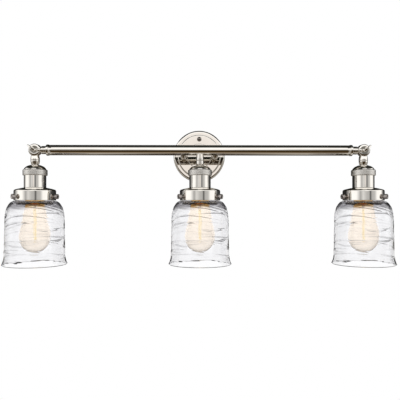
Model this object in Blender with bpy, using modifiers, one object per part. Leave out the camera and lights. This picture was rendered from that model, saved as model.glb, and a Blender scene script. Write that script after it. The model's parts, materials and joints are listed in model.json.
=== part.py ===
"""Wall-mounted vanity light bar: three glass bell lamps hang from one straight tube.

Frame: metres, +Z up, X along the bar, -Y out into the room. The origin is the centre of the
backplate in the plane of the wall, which is also the back face of the mounting plate.
Dimensions are written in millimetres and scaled by MM.
"""

import math

import bmesh
import bpy
from mathutils import Matrix, Vector

MM = 0.001

# ---- driving dimensions, in millimetres ----
LAMP_PITCH = 330.0          # between neighbouring lamps along the bar
BAR_STANDOFF = 137.0        # wall to the bar's axis
BAR_R = 10.4
BAR_WALL = 1.5
GAP = 0.3                   # clearance kept between neighbouring pieces

PLATE_R = 58.2
PLATE_SKIN = 1.5
STEP_R = 47.7               # first raised disc of the backplate
BOSS_R = 27.2               # second raised disc
RIM_DEPTH = 16.0            # wall to the front of the outer ring
STEP_DEPTH = 19.5           # wall to the front of the first disc
BOSS_DEPTH = 21.5           # wall to the front of the second disc
POST_X = 35.5               # the two posts that carry the bar
POST_R = 6.0
WIRE_BORE_R = 3.4
POST_FLANGE_R = 7.8
STUD_Z = 38.0               # the two studs that hold the backplate on
STUD_R = 1.9
NUT_R = 4.6                 # the domed part of a cap nut
NUT_DEPTH = 8.4
NUT_BORE_DEPTH = 5.8
BOX_SCREW_X = 44.45         # half of the 3.5 in spacing of a ceiling box's screws
STRAP_T = 2.0
STRAP_W = 18.0
STRAP_LENGTH = 104.0
UPRIGHT_LENGTH = 92.0
BOX_SLOT = (9.0, 4.6)       # length and height of each slot for a box screw
GROUND_SCREW_X = 20.0

FERRULE_FACE = 22.9         # lamp axis to the ferrule's flange
FERRULE_END = 13.0          # lamp axis to the ferrule's outer end
FLANGE_T = 4.9
FLANGE_R = 11.2
HUB_R = 8.1
HUB_GROOVES = (2.6, 5.4)    # from the ferrule's outer end
GROOVE_DEPTH = 0.7
SPIGOT_LENGTH = 12.0        # how far a ferrule goes into the tube
LEAD_R = 2.0                # the insulated wires

KNUCKLE_R = 12.2            # the two round cheeks of the swivel
CHEEK_T = 7.6
CHEEK_ROUNDING = 2.6
PIVOT_HOLE_R = 2.6
NECK_BOSS_R = 3.8           # a low boss on the front cheek, over the neck
NECK_BOSS_X = 8.0
PADDLE_SLANT = 40.0         # degrees
PADDLE_HALF = (9.6, 5.0, 1.7)
PADDLE_OFFSET = 4.4         # its outer end is the longer one
NIPPLE_R = 5.0              # the threaded ends that join the turned pieces

COLLAR_TOP = -20.6          # heights below the bar's axis
COLLAR_BOTTOM = -28.9
CENTRE_COLLAR_R = 7.8
BARREL_R = 9.0              # the barrel under each knuckle, whose lower part is the collar
BARREL_MIDDLE = -20.0
BARREL_HALF_HEIGHT = 18.0
BARREL_TOP = -9.0
STEM_TOP_R = 7.0
STEM_R = 7.5
CAP_DOME_R = 21.8
CAP_DOME_H = 11.6
CAP_DOME_Z = -40.6          # where the dome meets its band
CAP_SKIN = 1.2
CAP_BAND_R = 24.0
CAP_BOTTOM = -51.0
SHELL_R = 21.5
SHELL_WALL = 1.1
SHELL_TOP = -41.5
SHELL_LIP = 2.2             # how far its bottom lip stands out
SHELL_BOTTOM = -79.4
GALLERY_TOP = -75.8
GALLERY_BOTTOM = -101.0
GALLERY_R = 40.6            # takes a 3.25 in glass neck
GALLERY_WALL = 1.3
SCREW_Z = -93.4             # the three glass screws
SCREW_HEAD_R = 5.0
SCREW_HEAD_T = 5.8
SCREW_HEAD_GAP = 3.4        # between the gallery and a screw's head
SCREW_SHANK_R = 2.1
SCREW_AZIMUTHS = {          # degrees about each lamp's axis, anticlockwise from +X
    "left": (-132, -12, 108),
    "centre": (-150, -30, 90),
    "right": (-165, -45, 75),
}
SHADE_NECK_R = 36.8
SHADE_TOP = -84.0
SHADE_SHOULDER_R = 57.7     # where the rounded shoulder meets the body
SHADE_SHOULDER_Z = -138.0
SHADE_BODY_R = 58.9         # where the body meets the flared rim
SHADE_FLARE_Z = -206.0
SHADE_RIM_R = 63.6
SHADE_WALL = 3.0
SHADE_BOTTOM = -229.0
SOCKET_TOP = -46.0
SOCKET_SKIRT_R = 16.5
SOCKET_FLOOR = -66.0        # the top of the cavity that takes the bulb's base
SOCKET_BOTTOM = -97.0
BULB_BASE_R = 13.1
BULB_BASE_TOP = -69.0
BULB_NECK_Z = -100.5
BULB_R = 31.2
BULB_CENTRE_Z = -173.7
BULB_SHOULDER_R = 20.4      # where the bulb's neck has swept out to its sides
FILAMENT_TOP = -119.0
FILAMENT_BOTTOM = -179.5
FILAMENT_R = 3.4

# ---- roundness of the turned pieces, in segments ----
ROUND_LARGE = 26
ROUND_MEDIUM = 18
ROUND_SMALL = 12
ROUND_TINY = 8

MATERIALS = {
    # name: (colour, metallic, roughness)
    "polished_nickel": ((0.80, 0.77, 0.72, 1.0), 1.0, 0.12),
    "steel": ((0.62, 0.62, 0.60, 1.0), 1.0, 0.35),
    "brass": ((0.76, 0.52, 0.24, 1.0), 1.0, 0.28),
    "phenolic": ((0.035, 0.028, 0.024, 1.0), 0.0, 0.35),
    "clear_glass": ((0.93, 0.94, 0.95, 1.0), 0.0, 0.05),
    "amber_glass": ((0.95, 0.88, 0.74, 1.0), 0.0, 0.05),
    "filament": ((1.0, 0.72, 0.25, 1.0), 0.0, 0.5),
    "green_screw": ((0.10, 0.36, 0.16, 1.0), 1.0, 0.4),
    "wire": ((0.10, 0.10, 0.10, 1.0), 0.0, 0.6),
}


# ---- scene helpers ----

def clear_scene():
    for obj in list(bpy.data.objects):
        bpy.data.objects.remove(obj)


def new_collection(name):
    collection = bpy.data.collections.new(name)
    bpy.context.scene.collection.children.link(collection)
    return collection


def make_materials():
    for name, (colour, metallic, roughness) in MATERIALS.items():
        material = bpy.data.materials.new(name)
        material.use_nodes = True
        shader = material.node_tree.nodes["Principled BSDF"]
        shader.inputs["Base Color"].default_value = colour
        shader.inputs["Metallic"].default_value = metallic
        shader.inputs["Roughness"].default_value = roughness


def add_object(name, mesh, material=None, helper=False):
    obj = bpy.data.objects.new(name, mesh)
    (CUTTERS if helper else PARTS).objects.link(obj)
    if material:
        mesh.materials.append(bpy.data.materials[material])
    if helper:
        obj.hide_render = True
        obj.display_type = "WIRE"
    return obj


def place(obj, at=(0, 0, 0), turn=None):
    """Puts an object at a point in millimetres, turned by a rotation matrix."""
    rotation = turn if turn is not None else Matrix.Identity(4)
    obj.matrix_world = Matrix.Translation(Vector(at) * MM) @ rotation
    return obj


def along_y():
    """Turns a piece made along +Z so that its top faces -Y, into the room."""
    return Matrix.Rotation(math.radians(90), 4, "X")


def along_x(side):
    """Turns a piece made along +Z so that its top faces away from the bar's middle."""
    return Matrix.Rotation(math.radians(90 * side), 4, "Y")


# ---- outlines, as (radius, height) pairs in millimetres ----

def ellipse_arc(centre, a, b, start, end, count):
    """Points on an ellipse from start to end degrees, both ends included."""
    points = []
    for i in range(count):
        t = math.radians(start + (end - start) * i / (count - 1))
        points.append((centre[0] + a * math.cos(t), centre[1] + b * math.sin(t)))
    return points


def parabola_flare(top, bottom, count):
    """Points that start straight down at top and bend outward to bottom; top is left out."""
    points = []
    for i in range(1, count + 1):
        t = i / count
        radius = top[0] + (bottom[0] - top[0]) * t * t
        points.append((radius, top[1] + (bottom[1] - top[1]) * t))
    return points


# ---- solids ----

def turned(name, profile, segments, material=None, helper=False, ring=False):
    """A turned solid about +Z. The profile runs down its outer side, and a ring's profile closes."""
    mesh = bpy.data.meshes.new(name)
    edges = [(i, i + 1) for i in range(len(profile) - 1)]
    if ring:
        edges.append((len(profile) - 1, 0))
    mesh.from_pydata([(r * MM, 0, z * MM) for r, z in profile], edges, [])
    obj = add_object(name, mesh, material, helper)
    screw = obj.modifiers.new("turn", "SCREW")
    screw.steps = segments
    screw.render_steps = segments
    screw.use_merge_vertices = True
    screw.merge_threshold = 0.00001
    screw.use_smooth_shade = True
    return obj


def rod(name, radius, low, high, segments, material=None, helper=False):
    """A plain cylinder about +Z from low to high."""
    profile = [(0, high), (radius, high), (radius, low), (0, low)]
    return turned(name, profile, segments, material, helper)


def box(name, size, material=None, helper=False):
    mesh = bpy.data.meshes.new(name)
    bm = bmesh.new()
    bmesh.ops.create_cube(bm, size=1.0, matrix=Matrix.Diagonal((*[s * MM for s in size], 1)))
    bm.to_mesh(mesh)
    bm.free()
    return add_object(name, mesh, material, helper)


def combine(obj, other, operation):
    modifier = obj.modifiers.new(operation.lower(), "BOOLEAN")
    modifier.operation = operation
    modifier.object = other
    return obj


def cut(obj, cutter):
    return combine(obj, cutter, "DIFFERENCE")


def join(obj, other):
    return combine(obj, other, "UNION")


# ---- backplate and what holds it ----

def make_backplate():
    """A spun dish, open at the back, with two low steps on its face."""
    inner = PLATE_R - PLATE_SKIN
    skin = PLATE_SKIN
    profile = [
        (0, BOSS_DEPTH),
        (BOSS_R - 0.7, BOSS_DEPTH),
        (BOSS_R, BOSS_DEPTH - 0.7),
        (BOSS_R, STEP_DEPTH),
        (STEP_R - 0.9, STEP_DEPTH),
        (STEP_R, STEP_DEPTH - 0.9),
        (STEP_R, RIM_DEPTH),
    ]
    profile += ellipse_arc((PLATE_R - 4.0, RIM_DEPTH - 4.5), 4.0, 4.5, 90, 0, 3)
    profile += [(PLATE_R, 0), (inner, 0), (inner, RIM_DEPTH - 4.5)]
    profile += [(inner - 2.8, RIM_DEPTH - skin), (STEP_R - skin, RIM_DEPTH - skin)]
    profile += [(STEP_R - skin, STEP_DEPTH - skin), (0, STEP_DEPTH - skin)]
    plate = turned("backplate", profile, 32, "polished_nickel")
    off_the_holes = Matrix.Rotation(math.radians(5), 4, "Z")
    place(plate, turn=along_y() @ off_the_holes)
    for side in (-1, 1):
        hole = rod(f"cut_post_hole{side}", NIPPLE_R - 0.1, -5, 40, ROUND_SMALL, helper=True)
        cut(plate, place(hole, (side * POST_X, 0, 0), along_y()))
        hole = rod(f"cut_stud_hole{side}", STUD_R + 0.6, -5, 40, ROUND_TINY, helper=True)
        cut(plate, place(hole, (0, 0, side * STUD_Z), along_y()))


def make_mounting_plate():
    """A flat cross: slots for the box's screws on one arm, threaded holes for the studs on the other."""
    middle_y = -STRAP_T / 2
    plate = box("mounting_plate", (STRAP_LENGTH, STRAP_T, STRAP_W), "steel")
    place(plate, (0, middle_y, 0))
    upright = box("join_upright", (STRAP_W - 1, STRAP_T, UPRIGHT_LENGTH), helper=True)
    join(plate, place(upright, (0, middle_y, 0)))
    for side in (-1, 1):
        slot = box(f"cut_slot{side}", (BOX_SLOT[0], 3 * STRAP_T, BOX_SLOT[1]), helper=True)
        cut(plate, place(slot, (side * (BOX_SCREW_X - 1.5), middle_y, 0)))
        hole = rod(f"cut_tapped{side}", STUD_R + GAP, -5, 5, ROUND_TINY, helper=True)
        cut(plate, place(hole, (0, 0, side * STUD_Z), along_y()))
    hole = rod("cut_ground_hole", 2.0, -5, 5, ROUND_TINY, helper=True)
    cut(plate, place(hole, (GROUND_SCREW_X, 0, 0), along_y()))
    head_low = STRAP_T + GAP
    profile = [(0, head_low + 2.6), (2.6, head_low + 2.6), (3.8, head_low + 1.6), (3.8, head_low)]
    profile += [(1.7, head_low), (1.7, 0.4), (0, 0.4)]
    screw = turned("ground_screw", profile, ROUND_TINY, "green_screw")
    place(screw, (GROUND_SCREW_X, 0, 0), along_y())


def make_studs():
    seat = STEP_DEPTH + GAP
    bore = STUD_R + GAP
    for name, side in (("upper", 1), ("lower", -1)):
        stud = rod(f"stud_{name}", STUD_R, 0.3, seat + 5.4, ROUND_TINY, "steel")
        place(stud, (0, 0, side * STUD_Z), along_y())
        profile = ellipse_arc((0, seat + NUT_DEPTH - NUT_R), NUT_R, NUT_R, 90, 0, 4)
        profile[0] = (0, profile[0][1])
        profile += [(NUT_R, seat + 1.6), (NUT_R + 0.6, seat + 1.2), (NUT_R + 0.6, seat)]
        profile += [(bore, seat), (bore, seat + NUT_BORE_DEPTH), (0, seat + NUT_BORE_DEPTH)]
        nut = turned(f"cap_nut_{name}", profile, ROUND_SMALL, "polished_nickel")
        place(nut, (0, 0, side * STUD_Z), along_y())


def make_posts():
    """Two hollow posts: a nipple goes through the backplate, and the front end is cut to fit the bar."""
    seat = STEP_DEPTH + GAP
    for name, side in (("left", -1), ("right", 1)):
        profile = [
            (WIRE_BORE_R, BAR_STANDOFF - 2),
            (POST_R, BAR_STANDOFF - 2),
            (POST_R, seat + 3.4),
            (POST_FLANGE_R, seat + 2.6),
            (POST_FLANGE_R, seat),
            (NIPPLE_R - 0.5, seat),
            (NIPPLE_R - 0.5, 9.0),
            (WIRE_BORE_R, 9.0),
        ]
        post = turned(f"post_{name}", profile, ROUND_SMALL, "polished_nickel", ring=True)
        place(post, (side * POST_X, 0, 0), along_y())
        saddle = rod(f"cut_saddle{side}", BAR_R + GAP, -40, 40, ROUND_LARGE, helper=True)
        at = (side * POST_X, -BAR_STANDOFF, 0)
        cut(post, place(saddle, at, along_x(1)))


# ---- the bar ----

def make_bar():
    half = LAMP_PITCH - FERRULE_FACE - FLANGE_T - GAP
    inner = BAR_R - BAR_WALL
    profile = [(inner, half), (BAR_R, half), (BAR_R, -half), (inner, -half)]
    bar = turned("bar_tube", profile, ROUND_LARGE, "polished_nickel", ring=True)
    place(bar, (0, -BAR_STANDOFF, 0), along_x(1))
    for side in (-1, 1):
        hole = rod(f"cut_bar_post{side}", WIRE_BORE_R, 2, 20, ROUND_TINY, helper=True)
        turn = Matrix.Rotation(math.radians(-90), 4, "X")
        cut(bar, place(hole, (side * POST_X, -BAR_STANDOFF, 0), turn))
    hole = rod("cut_bar_stem", WIRE_BORE_R, -20, -2, ROUND_TINY, helper=True)
    cut(bar, place(hole, (0, -BAR_STANDOFF, 0)))


def make_ferrules():
    """Turned end fittings: a spigot in the tube, a flange on its end, and a grooved hub."""
    spigot_r = BAR_R - BAR_WALL - GAP
    flange_back = LAMP_PITCH - FERRULE_FACE - FLANGE_T
    flange_front = LAMP_PITCH - FERRULE_FACE
    end = LAMP_PITCH - FERRULE_END
    bore = NIPPLE_R + GAP
    profile = [(bore, end), (HUB_R, end)]
    for groove in HUB_GROOVES:
        profile += [(HUB_R, end - groove), (HUB_R - GROOVE_DEPTH, end - groove - 0.5)]
        profile += [(HUB_R, end - groove - 1.0)]
    profile += [
        (HUB_R, flange_front),
        (FLANGE_R - 0.6, flange_front),
        (FLANGE_R, flange_front - 0.8),
        (FLANGE_R, flange_back),
        (spigot_r, flange_back),
        (spigot_r, flange_back - SPIGOT_LENGTH),
        (WIRE_BORE_R, flange_back - SPIGOT_LENGTH),
        (WIRE_BORE_R, end - 9),
        (bore, end - 9),
    ]
    for name, side in (("left", -1), ("right", 1)):
        ferrule = turned(f"ferrule_{name}", profile, ROUND_MEDIUM, "polished_nickel", ring=True)
        place(ferrule, (0, -BAR_STANDOFF, 0), along_x(side))


def make_wiring():
    """The insulated leads inside the bar, with a branch into one post and one into the middle stem."""
    half = LAMP_PITCH - FERRULE_END - 10
    leads = rod("wiring", LEAD_R, -half, half, ROUND_TINY, "wire")
    place(leads, (0, -BAR_STANDOFF, 0), along_x(1))
    branch = rod("join_post_lead", LEAD_R - 0.1, 6.0, BAR_STANDOFF, ROUND_TINY, helper=True)
    join(leads, place(branch, (-POST_X, 0, 0), along_y()))
    drop = rod("join_stem_lead", LEAD_R - 0.1, -26, 0, ROUND_TINY, helper=True)
    join(leads, place(drop, (0, -BAR_STANDOFF, 0)))


# ---- the swivels at the bar's ends ----

def cheek_profile(inner_face):
    """A round cheek from its flat joint face out to a softly domed outer face."""
    edge = (KNUCKLE_R - CHEEK_ROUNDING, CHEEK_T - CHEEK_ROUNDING)
    profile = [(0, CHEEK_T + 0.5)]
    profile += ellipse_arc(edge, CHEEK_ROUNDING, CHEEK_ROUNDING, 78, 0, 3)
    profile += [(KNUCKLE_R, inner_face), (0, inner_face)]
    return profile


def barrel(top, bottom):
    """The side of the turned barrel under a knuckle between two heights, as five points."""
    points = []
    for i in range(5):
        height = top + (bottom - top) * i / 4
        share = (height - BARREL_MIDDLE) / BARREL_HALF_HEIGHT
        points.append((BARREL_R * math.sqrt(1 - share * share), height))
    return points


def make_knuckle(name, side):
    at = (side * LAMP_PITCH, -BAR_STANDOFF, 0)
    to_room = along_y()
    to_wall = Matrix.Rotation(math.radians(-90), 4, "X")
    to_bar = along_x(-side)
    inner_face = GAP
    clearance_r = KNUCKLE_R + GAP

    upper = turned(f"knuckle_upper_{name}", cheek_profile(inner_face), ROUND_MEDIUM, "polished_nickel")
    place(upper, at, to_room)
    neck_profile = [
        (0, FERRULE_END + 8),
        (NIPPLE_R, FERRULE_END + 8),
        (NIPPLE_R, FERRULE_END - GAP),
        (6.6, FERRULE_END - GAP),
        (6.0, FERRULE_END - 1.4),
        (5.6, FERRULE_END - 2.6),
        (7.0, 7.0),
        (7.0, 3.0),
        (0, 3.0),
    ]
    neck = turned(f"join_upper_neck_{name}", neck_profile, ROUND_SMALL, helper=True)
    room = rod(f"cut_upper_room_{name}", clearance_r, -(inner_face - 0.1), 20, ROUND_MEDIUM, helper=True)
    cut(place(neck, at, to_bar), place(room, at, to_wall))
    join(upper, neck)
    boss_profile = [(0, CHEEK_T + 1.6), (2.4, CHEEK_T + 1.3), (NECK_BOSS_R, CHEEK_T + 0.3)]
    boss_profile += [(NECK_BOSS_R, 3.0), (0, 3.0)]
    boss = turned(f"join_neck_boss_{name}", boss_profile, ROUND_SMALL, helper=True)
    boss_at = (at[0] - side * NECK_BOSS_X, at[1], at[2])
    join(upper, place(boss, boss_at, to_room))
    hole = rod(f"cut_pivot_{name}", PIVOT_HOLE_R, -20, 20, ROUND_TINY, helper=True)
    cut(upper, place(hole, at, to_room))

    lower = turned(f"knuckle_lower_{name}", cheek_profile(inner_face), ROUND_MEDIUM, "polished_nickel")
    place(lower, at, to_wall)
    bead_profile = [(0, BARREL_TOP)] + barrel(BARREL_TOP, COLLAR_TOP + GAP)
    bead_profile += [(NIPPLE_R, COLLAR_TOP + GAP), (NIPPLE_R, COLLAR_TOP - 6), (0, COLLAR_TOP - 6)]
    bead = turned(f"join_lower_bead_{name}", bead_profile, ROUND_MEDIUM, helper=True)
    room = rod(f"cut_lower_room_{name}", clearance_r, -(inner_face - 0.1), 20, ROUND_MEDIUM, helper=True)
    cut(place(bead, at), place(room, at, to_room))
    join(lower, bead)
    hole = rod(f"cut_thread_{name}", PIVOT_HOLE_R, -20, CHEEK_T - 2.0, ROUND_TINY, helper=True)
    cut(lower, place(hole, at, to_wall))

    make_thumbscrew(name, side, at)


def make_thumbscrew(name, side, at):
    """A pivot screw whose oval paddle stands out of the front cheek on a slant."""
    seat = CHEEK_T + 0.5 + GAP
    shank_r = PIVOT_HOLE_R - GAP
    profile = [(0, seat + 2.4), (3.0, seat + 2.4), (3.7, seat + 1.2), (3.7, seat)]
    profile += [(shank_r, seat), (shank_r, -CHEEK_T + 2.6), (0, -CHEEK_T + 2.6)]
    screw = turned(f"thumbscrew_{name}", profile, ROUND_TINY, "polished_nickel")
    slant = Matrix.Rotation(math.radians(-side * PADDLE_SLANT), 4, "Y")
    place(screw, at, slant @ along_y())
    paddle = bpy.data.meshes.new(f"join_paddle_{name}")
    bm = bmesh.new()
    length, height, thickness = PADDLE_HALF
    shape = Matrix.Rotation(math.radians(90), 4, "X") @ Matrix.Diagonal((length, height, 1.0, 1))
    bmesh.ops.create_cone(bm, cap_ends=True, segments=ROUND_MEDIUM, radius1=MM, radius2=MM,
                          depth=2 * thickness * MM, matrix=shape)
    bm.to_mesh(paddle)
    bm.free()
    tab = add_object(paddle.name, paddle, helper=True)
    centre = Matrix.Translation(Vector((side * PADDLE_OFFSET, 0, seat + 6.6)) * MM)
    tab.matrix_world = screw.matrix_world @ centre
    join(screw, tab)


# ---- the three lamps ----

def make_stem():
    """The short tube that carries the middle lamp, cut at the top to fit the bar."""
    profile = [
        (WIRE_BORE_R - 0.6, -4),
        (STEM_TOP_R, -4),
        (STEM_R, COLLAR_TOP + GAP + 3.0),
        (STEM_R, COLLAR_TOP + GAP + 0.8),
        (STEM_R - 0.8, COLLAR_TOP + GAP),
        (NIPPLE_R, COLLAR_TOP + GAP),
        (NIPPLE_R, COLLAR_TOP - 6),
        (WIRE_BORE_R - 0.6, COLLAR_TOP - 6),
    ]
    stem = turned("stem_centre", profile, ROUND_SMALL, "polished_nickel", ring=True)
    place(stem, (0, -BAR_STANDOFF, 0))
    saddle = rod("cut_stem_saddle", BAR_R + GAP, -30, 30, ROUND_LARGE, helper=True)
    cut(stem, place(saddle, (0, -BAR_STANDOFF, 0), along_x(1)))


def centre_collar_side():
    """A straight bead with a well rounded bottom."""
    rounding, drop = 3.0, 4.6
    side = [(CENTRE_COLLAR_R - 0.6, COLLAR_TOP), (CENTRE_COLLAR_R, COLLAR_TOP - 0.8)]
    centre = (CENTRE_COLLAR_R - rounding, COLLAR_BOTTOM + drop)
    return side + ellipse_arc(centre, rounding, drop, 0, -75, 4)


def collar_profile(side):
    """A turned collar with a deep bore for the nipple above and a nipple of its own below."""
    bore = NIPPLE_R + GAP
    profile = [(bore, COLLAR_TOP)] + side
    profile += [(NIPPLE_R, COLLAR_BOTTOM), (NIPPLE_R, COLLAR_BOTTOM - 4)]
    profile += [(WIRE_BORE_R, COLLAR_BOTTOM - 4), (WIRE_BORE_R, COLLAR_TOP - 6.6)]
    return profile + [(bore, COLLAR_TOP - 6.6)]


def cap_profile():
    """A thin dome with a wider band round its mouth."""
    hole = NIPPLE_R + GAP
    centre = (0, CAP_DOME_Z)
    start = math.degrees(math.acos(hole / CAP_DOME_R))
    profile = ellipse_arc(centre, CAP_DOME_R, CAP_DOME_H, start, 14, 4)
    profile += [(CAP_BAND_R - 0.7, CAP_DOME_Z + 1.4), (CAP_BAND_R, CAP_DOME_Z + 0.2)]
    profile += [(CAP_BAND_R, CAP_BOTTOM + 1.2), (CAP_BAND_R - 0.7, CAP_BOTTOM)]
    profile += [(SHELL_R + GAP, CAP_BOTTOM), (SHELL_R + GAP, SHELL_TOP + GAP + 0.4)]
    inner_r = CAP_DOME_R - CAP_SKIN
    start = math.degrees(math.acos(hole / inner_r))
    return profile + ellipse_arc(centre, inner_r, CAP_DOME_H - CAP_SKIN, 10, start, 3)


def shell_profile():
    """The socket's metal sleeve, with a lip at the bottom that the gallery rests on."""
    inner = SHELL_R - SHELL_WALL
    return [
        (inner, SHELL_TOP),
        (SHELL_R, SHELL_TOP),
        (SHELL_R, GALLERY_TOP - 2.0),
        (SHELL_R + SHELL_LIP, GALLERY_TOP - 2.0),
        (SHELL_R + SHELL_LIP, SHELL_BOTTOM),
        (inner, SHELL_BOTTOM),
    ]


def insulator_profile():
    """The moulded socket body: wide inside the sleeve, and a narrower skirt below it."""
    wide = SHELL_R - SHELL_WALL - GAP
    bore = BULB_BASE_R + 1.6
    return [
        (WIRE_BORE_R, SOCKET_TOP),
        (wide, SOCKET_TOP),
        (wide, SHELL_BOTTOM + 1.0),
        (SOCKET_SKIRT_R, SHELL_BOTTOM - 1.0),
        (SOCKET_SKIRT_R, SOCKET_BOTTOM),
        (bore, SOCKET_BOTTOM),
        (bore, SOCKET_FLOOR),
        (WIRE_BORE_R, SOCKET_FLOOR),
    ]


def contact_shell_profile():
    """The brass threaded cup that the bulb screws into."""
    outer = BULB_BASE_R + 1.6 - GAP
    inner = BULB_BASE_R + GAP + 0.3
    return [
        (WIRE_BORE_R, SOCKET_FLOOR - 0.4),
        (outer, SOCKET_FLOOR - 0.4),
        (outer, SOCKET_BOTTOM + 2.0),
        (inner, SOCKET_BOTTOM + 2.0),
        (inner, SOCKET_FLOOR - 1.4),
        (WIRE_BORE_R, SOCKET_FLOOR - 1.4),
    ]


def gallery_profile():
    """The shade holder: a shallow domed top and a straight band with a rolled lower edge."""
    hole = SHELL_R + GAP
    top_inner = GALLERY_TOP - 1.3
    inner = GALLERY_R - GALLERY_WALL
    profile = [(hole, GALLERY_TOP)]
    profile += ellipse_arc((GALLERY_R - 5.0, -82.5), 5.0, 4.2, 90, 0, 3)
    profile += [(GALLERY_R, GALLERY_BOTTOM + 0.6), (GALLERY_R - 0.6, GALLERY_BOTTOM)]
    profile += [(inner, GALLERY_BOTTOM), (inner, -83.0)]
    return profile + [(inner - 3.4, -79.9), (hole, top_inner)]


def shade_outer():
    """The glass bell's outside, from the bead on its neck to the flared rim."""
    bead_r = SHADE_NECK_R + 1.9
    profile = [(SHADE_NECK_R, SHADE_TOP), (bead_r, SHADE_TOP - 1.4), (SHADE_NECK_R, SHADE_TOP - 4.0)]
    profile += [(SHADE_NECK_R, -99.2)]
    start_r = 38.4
    width = SHADE_SHOULDER_R - start_r
    profile += ellipse_arc((start_r, SHADE_SHOULDER_Z), width, 36.5, 88, 0, 5)
    body_end = (SHADE_BODY_R, SHADE_FLARE_Z)
    return profile + [body_end] + parabola_flare(body_end, (SHADE_RIM_R, SHADE_BOTTOM), 3)


def shade_inner():
    """The bell's inside, from the rim back up to the neck."""
    body_end = (SHADE_BODY_R - SHADE_WALL, SHADE_FLARE_Z)
    flare = [body_end] + parabola_flare(body_end, (SHADE_RIM_R - 2.4, SHADE_BOTTOM), 2)
    neck = SHADE_NECK_R - SHADE_WALL
    start_r = neck + 1.6
    width = SHADE_SHOULDER_R - SHADE_WALL - start_r
    shoulder = ellipse_arc((start_r, SHADE_SHOULDER_Z), width, 33.5, 0, 86, 4)
    return list(reversed(flare)) + shoulder + [(neck, -101.5), (neck, SHADE_TOP)]


def bulb_base_profile():
    """The bulb's brass screw cap, a cup that is open towards the glass."""
    top = BULB_BASE_TOP
    profile = [(0, top), (4.6, top), (4.6, top - 1.8), (8.0, top - 2.8), (BULB_BASE_R - 1.2, top - 6)]
    for turn in range(3):
        crest = top - 8.4 - 5.2 * turn
        profile += [(BULB_BASE_R, crest), (BULB_BASE_R - 0.9, crest - 2.6)]
    profile += [(BULB_BASE_R, BULB_NECK_Z + 6.5), (BULB_BASE_R, BULB_NECK_Z)]
    inner = BULB_BASE_R - 0.6
    return profile + [(inner, BULB_NECK_Z), (inner, BULB_NECK_Z + 6.0), (0, BULB_NECK_Z + 7.5)]


def bulb_glass_profile():
    """The pear-shaped envelope, open at the top of its neck."""
    wall = 1.0
    neck = BULB_BASE_R - 0.6 - 2 * GAP
    top = BULB_NECK_Z + 5.0
    shoulder = (neck, BULB_NECK_Z - 12.0)
    outer = [(neck, top), (neck, BULB_NECK_Z - GAP)]
    outer += ellipse_arc(shoulder, BULB_SHOULDER_R - neck, 10.5, 80, 0, 3)
    outer += [(24.7, BULB_CENTRE_Z + 33), (29.2, BULB_CENTRE_Z + 16)]
    outer += ellipse_arc((0, BULB_CENTRE_Z), BULB_R, BULB_R, 10, -90, 7)
    inner = [(neck - wall, top), (neck - wall, BULB_NECK_Z - 1.6)]
    inner += ellipse_arc((neck - wall, shoulder[1]), BULB_SHOULDER_R - neck, 9.6, 70, 0, 2)
    inner += [(24.7 - wall, BULB_CENTRE_Z + 33), (29.2 - wall, BULB_CENTRE_Z + 16)]
    inner += ellipse_arc((0, BULB_CENTRE_Z), BULB_R - wall, BULB_R - wall, 10, -90, 6)
    outer[-1] = (0, outer[-1][1])
    inner[-1] = (0, inner[-1][1])
    return list(reversed(inner)) + outer


def make_filament(name, at):
    """The glass stem with its rod, and a long narrow cage of filament between two spiders."""
    top, bottom, strand_r = FILAMENT_TOP, FILAMENT_BOTTOM, 0.55
    spider_r = FILAMENT_R + 0.9
    root = BULB_NECK_Z + 4.5
    neck = BULB_BASE_R - 0.6 - 2 * GAP - 1.0 - GAP
    profile = [
        (0, root),
        (neck, root),
        (neck, root - 1.5),
        (3.4, root - 5.0),
        (2.6, root - 14.0),
        (1.0, root - 16.0),
        (1.0, top),
        (spider_r, top),
        (spider_r, top - 1.0),
        (1.0, top - 1.0),
        (1.0, bottom + 1.0),
        (spider_r, bottom + 1.0),
        (spider_r, bottom),
        (0, bottom),
    ]
    mount = place(turned(f"filament_{name}", profile, ROUND_TINY, "filament"), at)
    strands = bmesh.new()
    mesh = bpy.data.meshes.new(f"join_strands_{name}")
    for i in range(4):
        angle = math.radians(45 + 90 * i)
        out = Vector((math.cos(angle), math.sin(angle), 0)) * FILAMENT_R
        middle = (out + Vector((0, 0, (top + bottom) / 2))) * MM
        bmesh.ops.create_cone(strands, cap_ends=True, segments=5, radius1=strand_r * MM,
                              radius2=strand_r * MM, depth=(top - bottom - 0.6) * MM,
                              matrix=Matrix.Translation(middle))
    strands.to_mesh(mesh)
    strands.free()
    join(mount, place(add_object(mesh.name, mesh, helper=True), at))


def make_gallery_screws(name, gallery, at):
    """Three round-headed screws: two towards the room and one towards the wall."""
    tip = SHADE_NECK_R + GAP
    head = GALLERY_R + SCREW_HEAD_GAP
    end = head + SCREW_HEAD_T
    profile = [(0, end), (SCREW_HEAD_R - 1.2, end), (SCREW_HEAD_R, end - 1.0)]
    profile += [(SCREW_HEAD_R, head + 0.7), (SCREW_HEAD_R - 0.6, head)]
    profile += [(SCREW_SHANK_R, head), (SCREW_SHANK_R, tip), (0, tip)]
    for letter, azimuth in zip("abc", SCREW_AZIMUTHS[name]):
        turn = Matrix.Rotation(math.radians(azimuth), 4, "Z") @ along_x(1)
        centre = (at[0], at[1], SCREW_Z)
        screw = turned(f"glass_screw_{name}_{letter}", profile, ROUND_TINY, "polished_nickel")
        place(screw, centre, turn)
        hole = rod(f"cut_{name}_{letter}", SCREW_SHANK_R + GAP, 30, 50, ROUND_TINY, helper=True)
        cut(gallery, place(hole, centre, turn))


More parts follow.
